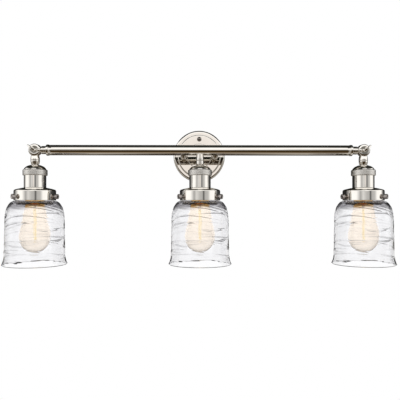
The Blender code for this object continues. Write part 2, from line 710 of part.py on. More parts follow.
def make_lamp(name, x, collar_side):
    at = (x, -BAR_STANDOFF, 0)
    rings = (
        ("neck_collar", collar_profile(collar_side), ROUND_SMALL, "polished_nickel"),
        ("socket_cap", cap_profile(), ROUND_MEDIUM, "polished_nickel"),
        ("socket_shell", shell_profile(), ROUND_MEDIUM, "polished_nickel"),
        ("socket_body", insulator_profile(), ROUND_MEDIUM, "phenolic"),
        ("contact_shell", contact_shell_profile(), ROUND_SMALL, "brass"),
        ("shade", shade_outer() + shade_inner(), ROUND_LARGE, "clear_glass"),
    )
    for piece, profile, segments, material in rings:
        place(turned(f"{piece}_{name}", profile, segments, material, ring=True), at)
    gallery = turned(f"gallery_{name}", gallery_profile(), ROUND_LARGE, "polished_nickel", ring=True)
    place(gallery, at)
    make_gallery_screws(name, gallery, at)
    place(turned(f"bulb_base_{name}", bulb_base_profile(), ROUND_SMALL, "brass"), at)
    place(turned(f"bulb_glass_{name}", bulb_glass_profile(), 16, "amber_glass"), at)
    make_filament(name, at)


def main():
    make_materials()
    make_backplate()
    make_mounting_plate()
    make_studs()
    make_posts()
    make_bar()
    make_ferrules()
    make_wiring()
    make_stem()
    make_knuckle("left", -1)
    make_knuckle("right", 1)
    make_lamp("left", -LAMP_PITCH, barrel(COLLAR_TOP, COLLAR_BOTTOM))
    make_lamp("centre", 0, centre_collar_side())
    make_lamp("right", LAMP_PITCH, barrel(COLLAR_TOP, COLLAR_BOTTOM))


clear_scene()
PARTS = new_collection("vanity_light_bar")
CUTTERS = new_collection("cutters")
main()
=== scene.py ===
"""Looks of the vanity light bar: polished turned metal, swirled glass bells and lit bulbs.

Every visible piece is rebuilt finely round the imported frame. Places and radii come from the frame's
boxes; lengths that only shape a detail are written in millimetres.
"""

import json
import math
import random

import bmesh
import bpy
import numpy as np
from mathutils import Matrix, Vector


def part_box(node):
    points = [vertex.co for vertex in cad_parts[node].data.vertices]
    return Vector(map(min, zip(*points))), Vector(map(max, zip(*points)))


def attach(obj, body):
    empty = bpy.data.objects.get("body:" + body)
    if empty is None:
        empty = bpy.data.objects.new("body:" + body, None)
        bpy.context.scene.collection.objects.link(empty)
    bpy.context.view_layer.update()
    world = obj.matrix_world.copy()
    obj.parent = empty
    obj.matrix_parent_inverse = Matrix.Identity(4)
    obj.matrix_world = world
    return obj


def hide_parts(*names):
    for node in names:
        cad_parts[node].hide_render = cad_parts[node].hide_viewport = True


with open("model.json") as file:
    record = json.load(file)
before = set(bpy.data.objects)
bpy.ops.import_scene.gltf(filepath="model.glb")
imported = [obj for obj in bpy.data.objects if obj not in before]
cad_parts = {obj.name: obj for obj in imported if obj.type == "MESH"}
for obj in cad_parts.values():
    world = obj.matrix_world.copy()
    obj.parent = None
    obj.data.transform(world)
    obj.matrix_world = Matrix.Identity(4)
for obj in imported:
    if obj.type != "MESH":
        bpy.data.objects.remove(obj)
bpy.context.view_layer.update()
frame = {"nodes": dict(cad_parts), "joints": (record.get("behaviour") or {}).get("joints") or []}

MM = 0.001
STEPS = 128                 # segments round a large turned piece
HOLD = 0.25                 # a point this far past a rounding keeps the straight beside it flat
MOST_REACH = 0.48           # a rounding takes at most this share of the sides beside it
NIPPLE_R = 5.0              # the threaded tube that joins knuckle, collar and cap
NIPPLE_HOLE_R = 5.3
LEAD_HOLE_R = 3.4           # the way through for the leads
LIP = 2.2                   # how far a socket's lip stands out from its sleeve
LAMPS = ("left", "centre", "right")
LAMP_BODY = {"left": "lamp_left", "centre": "fixture", "right": "lamp_right"}
SWIRL_SEED = 11
SWIRL_TURN = {"left": 18, "centre": 0, "right": -19}    # degrees that each bell's pattern is turned


# ---- places, read from the frame and given in millimetres ----

def box_of(node):
    """The lowest and the highest corner of a node's box."""
    return [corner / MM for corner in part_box(node)]


def centre_of(node):
    """The middle of a node's box."""
    low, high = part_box(node)
    return (low + high) / 2 / MM


def radius_of(node):
    """Half of a turned node's width across X."""
    low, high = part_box(node)
    return (high.x - low.x) / 2 / MM


BAR = centre_of("bar_tube")
BAR_LOW, BAR_HIGH = box_of("bar_tube")
BAR_R = (BAR_HIGH.z - BAR_LOW.z) / 2
LAMP_X = {name: centre_of(f"shade_{name}").x for name in LAMPS}
PLATE_R = radius_of("backplate")


def lamp_origin(name):
    """The point of the bar's axis that a lamp hangs from."""
    return Vector((LAMP_X[name], BAR.y, BAR.z))


# ---- mesh helpers ----

def outline(*corners):
    """Points of an outline whose corners are (radius, height) or (radius, height, rounding).

    A rounded corner becomes an arc of that radius, or a smaller one where its sides are short.
    """
    points = []
    for i, corner in enumerate(corners):
        here = Vector(corner[:2])
        rounding = corner[2] if len(corner) > 2 else 0
        before = Vector(corners[i - 1][:2]) - here
        after = Vector(corners[(i + 1) % len(corners)][:2]) - here
        if not rounding or before.angle(after) > math.radians(178):
            points.append(tuple(here))
            continue
        half = before.angle(after) / 2
        most = [MOST_REACH * side.length for side in (before, after)]
        reach = min(rounding / math.tan(half), *most)
        radius = reach * math.tan(half)
        straight_before, straight_after = (
            (1 - MOST_REACH) * side.length - reach for side in (before, after)
        )
        before, after = before.normalized(), after.normalized()
        middle = here + (before + after).normalized() * radius / math.sin(half)
        start, end = here + before * reach - middle, here + after * reach - middle
        sweep = math.atan2(start.x * end.y - start.y * end.x, start.dot(end))
        count = max(3, round(abs(math.degrees(sweep)) / 12))
        if straight_before > 2 * HOLD:
            points.append(tuple(here + before * (reach + HOLD)))
        for k in range(count + 1):
            points.append(tuple(middle + Matrix.Rotation(sweep * k / count, 2) @ start))
        if straight_after > 2 * HOLD:
            points.append(tuple(here + after * (reach + HOLD)))
    return points


def arc(centre, a, b, start, end, count):
    """Points on an ellipse from start to end degrees, both ends included."""
    angles = np.radians(np.linspace(start, end, count))
    return [(centre[0] + a * math.cos(t), centre[1] + b * math.sin(t)) for t in angles]


def resampled(points, pitch):
    """The same outline with its points an even pitch apart."""
    points = np.array(points, float)
    along = np.concatenate([[0], np.cumsum(np.linalg.norm(np.diff(points, axis=0), axis=1))])
    at = np.linspace(0, along[-1], max(2, round(along[-1] / pitch) + 1))
    return list(zip(np.interp(at, along, points[:, 0]), np.interp(at, along, points[:, 1])))


def ramp(value, start, length):
    """Goes from 0 at start to 1 a length further on, and no further; the length may be negative."""
    return min(1.0, max(0.0, (value - start) / length))


def fluted(limit, depth, count):
    """A shift for turned() that cuts shallow flutes into the wall beyond a limit radius."""
    def shift(angles, radius):
        if radius < limit:
            return np.full(len(angles), radius)
        return radius - depth * (0.5 + 0.5 * np.cos(angles * count))
    return shift


def finish_mesh(mesh, smooth_angle=38):
    """Smooth shading, with the edges steeper than an angle kept sharp."""
    mesh.update()
    mesh.shade_smooth()
    mesh.set_sharp_from_angle(angle=math.radians(smooth_angle))


def turned_mesh(name, points, ring=False, steps=STEPS, shift=None, smooth_angle=38):
    """A turned mesh about +Z, from points in millimetres; shift(angles, radius) may change radii."""
    angles = np.linspace(0, 2 * math.pi, steps, endpoint=False)
    verts, rows = [], []
    for radius, height in points:
        first = len(verts)
        if radius < 1e-6:
            verts.append((0, 0, height * MM))
            rows.append([first] * steps)
            continue
        radii = np.full(steps, float(radius))
        if shift:
            radii = shift(angles, radius)
        for angle, r in zip(angles, radii):
            verts.append((r * math.cos(angle) * MM, r * math.sin(angle) * MM, height * MM))
        rows.append(list(range(first, first + steps)))
    pairs = list(zip(rows, rows[1:]))
    if ring:
        pairs.append((rows[-1], rows[0]))
    faces = []
    for upper, lower in pairs:
        for i in range(steps):
            j = (i + 1) % steps
            corners = [upper[i], lower[i], lower[j], upper[j]]
            face = list(dict.fromkeys(corners))
            if len(face) > 2:
                faces.append(face)
    mesh = bpy.data.meshes.new(name)
    mesh.from_pydata(verts, [], faces)
    finish_mesh(mesh, smooth_angle)
    return mesh


def add(name, mesh, material, at=(0, 0, 0), turn=None):
    """An object with its mesh's origin at a place in millimetres."""
    obj = bpy.data.objects.new(name, mesh)
    bpy.context.scene.collection.objects.link(obj)
    rotation = turn if turn is not None else Matrix.Identity(4)
    obj.matrix_world = Matrix.Translation(Vector(at) * MM) @ rotation
    if not mesh.materials:
        mesh.materials.append(material)
    return obj


def turned(name, points, material, at=(0, 0, 0), turn=None, **how):
    """An object with a turned mesh."""
    return add(name, turned_mesh(name, points, **how), material, at, turn)


def boolean(obj, other, operation):
    """Applies a Boolean to an object and removes the other one."""
    modifier = obj.modifiers.new(operation.lower(), "BOOLEAN")
    modifier.operation = operation
    modifier.object = other
    bpy.context.view_layer.update()
    evaluated = obj.evaluated_get(bpy.context.evaluated_depsgraph_get())
    mesh = bpy.data.meshes.new_from_object(evaluated)
    obj.modifiers.clear()
    obj.data = mesh
    bpy.data.objects.remove(other)
    finish_mesh(mesh)


def fit(obj, body, slot, *nodes):
    """The piece rides on a body and stands for any CAD nodes named; the slot argument is not used."""
    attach(obj, body)
    if nodes:
        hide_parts(*nodes)


TO_ROOM = Matrix.Rotation(math.radians(90), 4, "X")
TO_WALL = Matrix.Rotation(math.radians(-90), 4, "X")


def along_x(side):
    """Turns a piece made along +Z to point along +X or -X."""
    return Matrix.Rotation(math.radians(90 * side), 4, "Y")


# ---- materials ----

class Tree:
    """Helpers that build a node tree."""

    def __init__(self, tree):
        self.tree = tree

    def add(self, kind, inputs=(), **settings):
        """A new node with its settings, and the values of its inputs as (name, value) pairs."""
        node = self.tree.nodes.new(kind)
        for key, value in settings.items():
            setattr(node, key, value)
        for name, value in inputs:
            node.inputs[name].default_value = value
        return node

    def link(self, source, target):
        self.tree.links.new(source, target)

    def math(self, operation, *values):
        """A Math node on sockets or numbers."""
        node = self.add("ShaderNodeMath", operation=operation)
        for socket, value in zip(node.inputs, values):
            if isinstance(value, (int, float)):
                socket.default_value = value
            else:
                self.link(value, socket)
        return node.outputs[0]


class Nodes(Tree):
    """Builds a material's node tree round its Principled shader."""

    def __init__(self, name):
        self.material = bpy.data.materials.new(name)
        self.material.use_nodes = True
        super().__init__(self.material.node_tree)
        self.shader = self.tree.nodes["Principled BSDF"]
        self.space = self.add("ShaderNodeTexCoord").outputs["Object"]

    def set(self, **values):
        """Sets the shader's own inputs."""
        for key, value in values.items():
            self.shader.inputs[key.replace("_", " ")].default_value = value

    def drive(self, name, source):
        """Links a source to one of the shader's inputs."""
        self.link(source, self.shader.inputs[name])

    def noise(self, scale, detail=3.0, roughness=0.5, stretch=(1, 1, 1)):
        """Noise fixed to the object, with this many cells to the metre."""
        mapping = self.add("ShaderNodeMapping", [("Scale", stretch)])
        self.link(self.space, mapping.inputs["Vector"])
        node = self.add("ShaderNodeTexNoise",
                        [("Scale", scale), ("Detail", detail), ("Roughness", roughness)])
        self.link(mapping.outputs["Vector"], node.inputs["Vector"])
        return node.outputs["Fac"]

    def between(self, source, low, high, start=0.3, end=0.7):
        """Goes from low to high while its source goes from start to end."""
        node = self.add("ShaderNodeMapRange", [
            ("From Min", start), ("From Max", end), ("To Min", low), ("To Max", high),
        ])
        self.link(source, node.inputs["Value"])
        return node.outputs["Result"]

    def mixed(self, source, first, second):
        """Goes from the first colour to the second while its source goes from 0.3 to 0.7."""
        node = self.add("ShaderNodeValToRGB")
        ends = zip(node.color_ramp.elements, (0.3, 0.7), (first, second))
        for element, position, colour in ends:
            element.position = position
            element.color = (*colour, 1)
        self.link(source, node.inputs["Fac"])
        return node.outputs["Color"]

    def by_height(self, low, high, scale, drift):
        """Rises from 0 to 1 between two heights in metres, with a wandering edge."""
        split = self.add("ShaderNodeSeparateXYZ")
        self.link(self.space, split.inputs["Vector"])
        wander = self.between(self.noise(scale, detail=2.0), -drift, drift)
        return self.between(self.math("ADD", split.outputs["Z"], wander), 0.0, 1.0, low, high)

    def bump(self, source, strength, distance):
        node = self.add("ShaderNodeBump", [("Strength", strength), ("Distance", distance)])
        self.link(source, node.inputs["Height"])
        self.drive("Normal", node.outputs["Normal"])


def metal(name, light, dark, rough, bump, scale=60.0):
    """Metal whose colour drifts between two tones and whose roughness varies over a range."""
    nodes = Nodes(name)
    nodes.set(Metallic=1.0)
    drift = nodes.noise(scale, detail=4.0)
    nodes.drive("Base Color", nodes.mixed(drift, light, dark))
    polish = nodes.noise(scale * 6, detail=5.0, roughness=0.6)
    nodes.drive("Roughness", nodes.between(polish, *rough))
    nodes.bump(polish, bump, 0.0002)
    return nodes.material


def clear_glass():
    """Blown glass: clear with soft ripples, and painted grey round its thick neck as shade and a dark
    reflection from the holder above.
    """
    nodes = Nodes("clear_swirled_glass")
    nodes.set(IOR=1.5, Transmission_Weight=1.0)
    clear_z, painted_shade_z = -0.124, -0.106
    # The grey round the neck is painted shade and reflection from the holder above
    neck = nodes.by_height(clear_z, painted_shade_z, 60, 0.004)
    colour = nodes.mixed(neck, (0.982, 0.982, 0.988), (0.86, 0.85, 0.87))
    nodes.drive("Base Color", colour)
    seeds = nodes.noise(420, detail=2.0)
    nodes.drive("Roughness", nodes.between(seeds, 0.0, 0.03))
    nodes.bump(nodes.noise(45, detail=1.0, stretch=(1, 1, 1.6)), 0.25, 0.0012)
    return nodes.material


def bulb_glass():
    """Thin glass, amber by its neck and nearly clear below, that glows from its filament."""
    nodes = Nodes("amber_bulb_glass")
    nodes.set(IOR=1.45, Transmission_Weight=1.0, Emission_Color=(1.0, 0.86, 0.68, 1))
    clear_z, amber_z = -0.118, -0.104
    neck = nodes.by_height(clear_z, amber_z, 30, 0.003)
    colour = nodes.mixed(neck, (0.975, 0.935, 0.885), (1.0, 0.72, 0.30))
    nodes.drive("Base Color", colour)
    dim_z, bright_z = -0.225, -0.140
    lit = nodes.by_height(dim_z, bright_z, 30, 0.006)
    nodes.drive("Roughness", nodes.between(nodes.noise(200), 0.0, 0.04))
    below_neck = nodes.between(neck, 0.055, 0.0, 0.0, 1.0)
    towards_neck = nodes.between(lit, 0.2, 1.0, 0.0, 1.0)
    nodes.drive("Emission Strength", nodes.math("MULTIPLY", below_neck, towards_neck))
    return nodes.material


def glowing_filament():
    """Dark tungsten whose glow varies a little along its length."""
    nodes = Nodes("glowing_filament")
    nodes.set(Base_Color=(0.20, 0.12, 0.04, 1), Emission_Color=(1.0, 0.84, 0.38, 1))
    heat = nodes.noise(90, detail=2.0)
    nodes.drive("Emission Strength", nodes.between(heat, 0.7, 1.0))
    nodes.drive("Roughness", nodes.between(heat, 0.3, 0.5))
    return nodes.material


def moulding(name, light, dark, rough):
    """Moulded plastic or phenolic with a fine grain."""
    nodes = Nodes(name)
    nodes.drive("Base Color", nodes.mixed(nodes.noise(120), light, dark))
    grain = nodes.noise(900, detail=3.0)
    nodes.drive("Roughness", nodes.between(grain, *rough))
    nodes.bump(grain, 0.1, 0.0001)
    return nodes.material


NICKEL = metal("polished_nickel", (0.84, 0.81, 0.76), (0.80, 0.765, 0.71), (0.015, 0.05), 0.003)
SATIN = metal("satin_nickel", (0.72, 0.70, 0.67), (0.66, 0.64, 0.60), (0.30, 0.40), 0.1, 90)
# A darker copy of the polished nickel: painted shade and dark reflection for the small screws
PAINTED_SHADE_NICKEL = metal("nickel_painted_shade", (0.50, 0.46, 0.44), (0.42, 0.38, 0.36), (0.06, 0.12), 0.01)
# Nickel painted very dark: a painted dark reflection for the cap nuts
DARK_REFLECTION_NICKEL = metal("nickel_painted_dark_reflection", (0.26, 0.24, 0.22), (0.20, 0.18, 0.165), (0.08, 0.16), 0.01)
ZINC = metal("zinc_plated_steel", (0.66, 0.66, 0.63), (0.54, 0.55, 0.54), (0.28, 0.5), 0.1, 40)
BRASS = metal("bright_brass", (0.80, 0.55, 0.26), (0.70, 0.45, 0.19), (0.12, 0.30), 0.05)
GREEN = metal("green_earth_screw", (0.12, 0.40, 0.18), (0.08, 0.30, 0.13), (0.3, 0.5), 0.1)
SUPPORT = metal("support_wire", (0.55, 0.50, 0.44), (0.42, 0.38, 0.33), (0.25, 0.4), 0.05)
GLASS = clear_glass()
BULB = bulb_glass()
FILAMENT = glowing_filament()
PHENOLIC = moulding("black_phenolic", (0.035, 0.030, 0.026), (0.018, 0.015, 0.013), (0.25, 0.4))
SLEEVE = moulding("wire_sleeve", (0.06, 0.06, 0.06), (0.035, 0.035, 0.035), (0.45, 0.6))


# ---- backplate, posts and bar ----

def make_backplate():
    """A stepped dish, open towards the wall, with a rounded outer edge."""
    depth = -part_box("backplate")[0].y / MM
    rim, step = depth - 5.5, depth - 2.0
    step_r, boss_r, skin = PLATE_R - 10.5, 27.2, 1.5
    inner = PLATE_R - skin
    points = outline(
        (0, depth), (boss_r, depth, 1.2), (boss_r, step, 0.6), (step_r, step, 1.9),
        (step_r, rim, 1.2), (PLATE_R, rim, 4.8), (PLATE_R, 0, 0.4), (inner, 0, 0.3),
        (inner, rim - skin, 2.6), (step_r - skin, rim - skin, 0.8),
        (step_r - skin, step - skin, 0.4), (0, step - skin),
    )
    plate = turned("backplate_dish", points, NICKEL, turn=TO_ROOM, steps=192)
    fit(plate, "fixture", "polished_nickel", "backplate")
    return step


def make_cap_nuts(seat):
    """Low domed nuts on the backplate's raised middle, which is this far from the wall."""
    for name in ("upper", "lower"):
        node = f"cap_nut_{name}"
        gap = 0.3
        radius, height = radius_of(node), -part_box(node)[0].y / MM - seat - gap
        dome = radius - 0.7
        points = arc((0, height - dome), dome, dome, 90, 4, 12)
        points += outline((dome, 1.7), (radius, 1.1, 0.3), (radius, 0), (0, 0))
        points[0] = (0, points[0][1])
        at = (centre_of(node).x, -seat - gap, centre_of(node).z)
        # The nuts' dark tone is painted reflection of the dark room
        nut = turned(f"cap_nut_dome_{name}", points, DARK_REFLECTION_NICKEL, at, TO_ROOM, steps=64)
        fit(nut, "fixture", "polished_nickel", node)


def make_posts(seat):
    """Round posts from inside the bar to a small flange on the backplate and a spigot behind it."""
    reach = -BAR.y - BAR_R + 3.0
    post_r, spigot_r, spigot_end = 6.0, 4.5, 9.0
    for name in ("left", "right"):
        node = f"post_{name}"
        flange_r = radius_of(node)
        points = outline(
            (0, reach), (post_r, reach), (post_r, seat + 4.0, 1.2), (flange_r, seat + 2.8, 0.9),
            (flange_r, seat + 0.3, 0.3), (spigot_r, seat + 0.3), (spigot_r, spigot_end, 0.4),
            (0, spigot_end),
        )
        at = (centre_of(node).x, 0, 0)
        post = turned(f"bar_post_{name}", points, NICKEL, at, TO_ROOM, steps=72)
        fit(post, "fixture", "polished_nickel", node)


def make_bar():
    """An open tube with eased ends."""
    half, inner, ease = BAR_HIGH.x, BAR_R - 1.5, 0.4
    outer = [(BAR_R, x) for x in np.linspace(half - ease, ease - half, 96)]
    points = [(inner, half), (BAR_R - 0.3, half)] + outer + [(BAR_R - 0.3, -half), (inner, -half)]
    bar = turned("bar", points, NICKEL, (0, BAR.y, BAR.z), along_x(1), ring=True)
    fit(bar, "fixture", "polished_nickel", "bar_tube")


def make_ferrules():
    """Flange against the tube's end, then a hub with two fine grooves."""
    for name, side in (("left", -1), ("right", 1)):
        node = f"ferrule_{name}"
        low, high = box_of(node)
        end = max(abs(low.x), abs(high.x))
        flange_r = (high.z - low.z) / 2
        front, back = end - 9.9, end - 14.8
        hub_r, spigot_r, groove = 8.1, 8.6, 0.8
        spigot_end, hole_end = back - 12, end - 9
        corners = [(NIPPLE_HOLE_R, end), (hub_r, end, 0.7)]
        for place in (2.6, 5.4):
            corners += [(hub_r, end - place + 0.2, 0.15), (hub_r - groove, end - place - 0.35, 0.2)]
            corners += [(hub_r, end - place - 0.9, 0.15)]
        corners += [
            (hub_r, front, 0.5), (flange_r, front, 1.0), (flange_r, back, 0.8), (spigot_r, back),
            (spigot_r, spigot_end), (LEAD_HOLE_R, spigot_end), (LEAD_HOLE_R, hole_end),
            (NIPPLE_HOLE_R, hole_end),
        ]
        at = (0, BAR.y, BAR.z)
        ferrule = turned(f"end_ferrule_{name}", outline(*corners), NICKEL, at, along_x(side),
                         ring=True, steps=96)
        fit(ferrule, "fixture", "polished_nickel", node)


# ---- swivels ----

def cheek_points(radius, thick, face):
    """One round half of a knuckle, from its softly domed outside to the face on its partner."""
    return outline((0, thick), (radius * 0.7, thick - 0.1, 20), (radius, thick - 0.7, 2.8),
                   (radius, face, 0.3), (0, face))


def barrel(top, bottom):
    """The side of a turned barrel between two heights, widest where the collar joins."""
    widest, middle, half_height = 8.95, -20, 18
    return [(widest * math.sqrt(1 - ((z - middle) / half_height) ** 2), z)
            for z in np.linspace(top, bottom, 14)]


def make_knuckle(name, side):
    """Two round cheeks face to face, one on the bar's end and one that carries the lamp."""
    at = lamp_origin(name)
    radius = radius_of(f"knuckle_lower_{name}")
    thick, face, room_r = 8.1, 0.3, radius + 0.3
    room_points = [(0, 20), (room_r, 20), (room_r, -0.2), (0, -0.2)]
    body = LAMP_BODY[name]

    cheek = turned(f"knuckle_front_{name}", cheek_points(radius, thick, face), NICKEL, at, TO_ROOM)
    neck_points = outline(
        (0, 20.0), (NIPPLE_R, 20.0), (NIPPLE_R, 12.7), (6.4, 12.7, 0.5), (5.6, 10.6, 0.8),
        (7.0, 7.0, 1.5), (7.0, 3.0), (0, 3.0),
    )
    neck = turned(f"neck_{name}", neck_points, NICKEL, at, along_x(-side), steps=64)
    room = turned("room", room_points, NICKEL, at, TO_WALL)
    boolean(neck, room, "DIFFERENCE")
    boolean(cheek, neck, "UNION")
    boss_points = outline((0, 9.6), (1.8, 9.4, 1.5), (3.8, 8.4, 1.5), (3.8, 3.0), (0, 3.0))
    boss_at = at - Vector((side * 8.0, 0, 0))
    boss = turned(f"boss_{name}", boss_points, NICKEL, boss_at, TO_ROOM, steps=48)
    boolean(cheek, boss, "UNION")
    fit(cheek, "fixture", "polished_nickel", f"knuckle_upper_{name}")

    back = turned(f"knuckle_back_{name}", cheek_points(radius, thick, face), NICKEL, at, TO_WALL)
    collar_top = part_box(f"neck_collar_{name}")[1].z / MM
    bead_top, nipple_end = -8.5, -26.5
    bead_points = [(0, bead_top)] + barrel(bead_top, collar_top + 0.5)
    bead_points += outline((8.8, collar_top + 0.3), (NIPPLE_R, collar_top + 0.3),
                           (NIPPLE_R, nipple_end), (0, nipple_end))
    bead = turned(f"bead_{name}", bead_points, NICKEL, at, steps=96)
    room = turned("room", room_points, NICKEL, at, TO_ROOM)
    boolean(bead, room, "DIFFERENCE")
    boolean(back, bead, "UNION")
    fit(back, body, "polished_nickel", f"knuckle_lower_{name}")
    make_thumbscrew(name, side, at, thick)


def make_thumbscrew(name, side, at, seat):
    """A pivot screw with an oval paddle, set on a slant."""
    slant = Matrix.Rotation(math.radians(-side * 40), 4, "Y")
    points = outline(
        (0, seat + 4.6), (2.2, seat + 4.6), (2.5, seat + 3.0, 0.6), (3.7, seat + 1.6, 0.5),
        (3.7, seat + 0.3, 0.3), (2.3, seat + 0.3), (2.3, -5.0), (0, -5.0),
    )
    screw = turned(f"thumb_screw_{name}", points, NICKEL, at, slant @ TO_ROOM, steps=48)
    paddle = paddle_mesh(half_length=9.6, half_height=5.0, half_thick=1.8)
    tab = add(f"paddle_{name}", paddle, NICKEL)
    middle = Vector((side * 4.4, 0, seat + 6.9)) * MM
    tab.matrix_world = screw.matrix_world @ Matrix.Translation(middle)
    boolean(screw, tab, "UNION")
    fit(screw, f"thumbscrew_{name}", "polished_nickel", f"thumbscrew_{name}")


def paddle_mesh(half_length, half_height, half_thick):
    """A flat oval, pillowed so that its rim is thinner than its middle."""
    around, across = 72, 7
    verts, faces = [], []
    for face in (1, -1):
        for ring in range(across):
            share = ring / (across - 1)
            for k in range(around):
                angle = 2 * math.pi * k / around
                bulge = 0.62 + 0.38 * math.sqrt(max(0.0, 1 - share ** 4))
                x = half_length * share * math.cos(angle)
                z = half_height * share * math.sin(angle)
                verts.append((x * MM, face * half_thick * bulge * MM, z * MM))
    for face in range(2):
        for ring in range(across - 1):
            for k in range(around):
                a = (face * across + ring) * around + k
                b = (face * across + ring) * around + (k + 1) % around
                quad = [a, b, b + around, a + around]
                faces.append(quad if face else quad[::-1])
    rim = (across - 1) * around
    for k in range(around):
        a, b = rim + k, rim + (k + 1) % around
        faces.append([a, b, b + across * around, a + across * around])
    mesh = bpy.data.meshes.new("paddle")
    mesh.from_pydata(verts, [], faces)
    weld(mesh)
    finish_mesh(mesh, 50)
    return mesh


def weld(mesh):
    """Joins doubled points and turns the faces outward."""
    distance = 1e-6
    bm = bmesh.new()
    bm.from_mesh(mesh)
    bmesh.ops.remove_doubles(bm, verts=bm.verts, dist=distance)
    bmesh.ops.dissolve_degenerate(bm, edges=bm.edges, dist=distance)
    bmesh.ops.recalc_face_normals(bm, faces=bm.faces)
    bm.to_mesh(mesh)
    bm.free()


# ---- lamp metalwork ----

def make_stem():
    """The middle lamp's stem, which widens from the bar down to the collar."""
    low, high = box_of("stem_centre")
    radius = (high.x - low.x) / 2
    collar_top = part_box("neck_collar_centre")[1].z / MM
    points = outline(
        (0, -6.0), (radius - 0.5, -6.0), (radius, -16.5, 9.0), (radius, collar_top + 0.3, 0.8),
        (NIPPLE_R, collar_top + 0.3), (NIPPLE_R, low.z), (0, low.z),
    )
    stem = turned("hanging_stem", points, NICKEL, lamp_origin("centre"), steps=72)
    fit(stem, "fixture", "polished_nickel", "stem_centre")


def make_collar(name):
    """A turned bead with a grub screw low on its front."""
    node = f"neck_collar_{name}"
    radius, top = radius_of(node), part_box(node)[1].z / MM
    bottom = top - 8.3
    nipple_end, hole_end = bottom - 4, top - 6.6
    if name == "centre":
        side = outline((radius - 0.4, top), (radius, top - 0.6, 0.3), (radius, bottom, 3.4),
                       (NIPPLE_R, bottom))
    else:
        side = [(8.7, top)] + barrel(top - 0.3, bottom + 0.4) + [(7.2, bottom)]
    points = [(NIPPLE_HOLE_R, top), *side] + [
        (NIPPLE_R, bottom), (NIPPLE_R, nipple_end), (LEAD_HOLE_R, nipple_end),
        (LEAD_HOLE_R, hole_end), (NIPPLE_HOLE_R, hole_end),
    ]
    collar = turned(f"collar_{name}", points, NICKEL, lamp_origin(name), ring=True, steps=96)
    screw_at = lamp_origin(name) + Vector((0, 0, bottom + 1.7))
    hole_points = [(0, 12), (1.2, 12), (1.2, 5.6), (0, 5.6)]
    hole = turned("hole", hole_points, NICKEL, screw_at, TO_ROOM, steps=32)
    boolean(collar, hole, "DIFFERENCE")
    fit(collar, LAMP_BODY[name], "polished_nickel", node)
    key_r, grub_r, face = 0.5, 1.05, radius - 0.9
    points = outline(
        (key_r, 5.4), (key_r, face), (grub_r, face, 0.2), (grub_r, 4.6), (0, 4.6), (0, 5.4),
    )
    # The grub screw wears nickel painted darker as shade
    grub = turned(f"grub_screw_{name}", points, PAINTED_SHADE_NICKEL, screw_at, TO_ROOM, steps=24)
    fit(grub, LAMP_BODY[name], "zinc_steel")


def make_cap(name):
    """The polished dome and the wide satin band round its mouth."""
    node = f"socket_cap_{name}"
    low, high = box_of(node)
    band_r, bottom = (high.x - low.x) / 2, low.z
    dome_r, dome_h, dome_z, skin = band_r - 2.2, 11.6, low.z + 10.4, 1.2
    start, inner_end = (math.degrees(math.acos(NIPPLE_HOLE_R / r)) for r in (dome_r, dome_r - skin))
    outer = arc((0, dome_z), dome_r, dome_h, start, 6, 18)
    inner = arc((0, dome_z), dome_r - skin, dome_h - skin, 4, inner_end, 16)
    dome = turned(f"cap_dome_{name}", outer + inner, NICKEL, lamp_origin(name), ring=True)
    fit(dome, LAMP_BODY[name], "polished_nickel", node)
    mouth_r = radius_of(f"socket_shell_{name}") - LIP + 0.3
    points = outline(
        (dome_r - 1.4, dome_z + 1.6), (dome_r - 0.2, dome_z + 1.9, 0.3),
        (band_r, dome_z + 0.4, 1.6), (band_r, bottom, 1.4), (mouth_r, bottom, 0.3), (mouth_r, dome_z),
    )
    points = resampled(points + points[:1], 0.5)[:-1]
    band = turned(f"cap_band_{name}", points, SATIN, lamp_origin(name), ring=True, steps=480,
                  shift=fluted(band_r - 0.35, 0.11, 120))
    fit(band, LAMP_BODY[name], "polished_nickel", node)


def make_socket(name):
    """The polished sleeve with its lip, and the black moulded body inside it."""
    at, body = lamp_origin(name), LAMP_BODY[name]
    low, high = box_of(f"socket_shell_{name}")
    lip_r = (high.x - low.x) / 2
    sleeve_r, inner = lip_r - LIP, lip_r - 3.3
    lip_top = low.z + 1.6
    points = outline(
        (inner, high.z), (sleeve_r, high.z, 0.3), (sleeve_r, lip_top + 2.9, 0.4),
        (lip_r, lip_top, 0.3), (lip_r, low.z, 0.3), (inner, low.z),
    )
    sleeve = turned(f"socket_sleeve_{name}", points, NICKEL, at, ring=True)
    fit(sleeve, body, "polished_nickel", f"socket_shell_{name}")

    low, high = box_of(f"socket_body_{name}")
    wide, skirt, bore, floor = (high.x - low.x) / 2, 16.5, 14.7, -66.0
    shoulder = -80.4
    points = outline(
        (LEAD_HOLE_R, high.z), (wide, high.z, 0.8), (wide, shoulder, 0.6),
        (skirt, shoulder - 2.0, 0.8), (skirt, low.z, 0.7), (bore, low.z, 0.5), (bore, floor),
        (LEAD_HOLE_R, floor),
    )
    moulded = turned(f"socket_moulding_{name}", points, PHENOLIC, at, ring=True, steps=72)
    fit(moulded, body, "phenolic", f"socket_body_{name}")


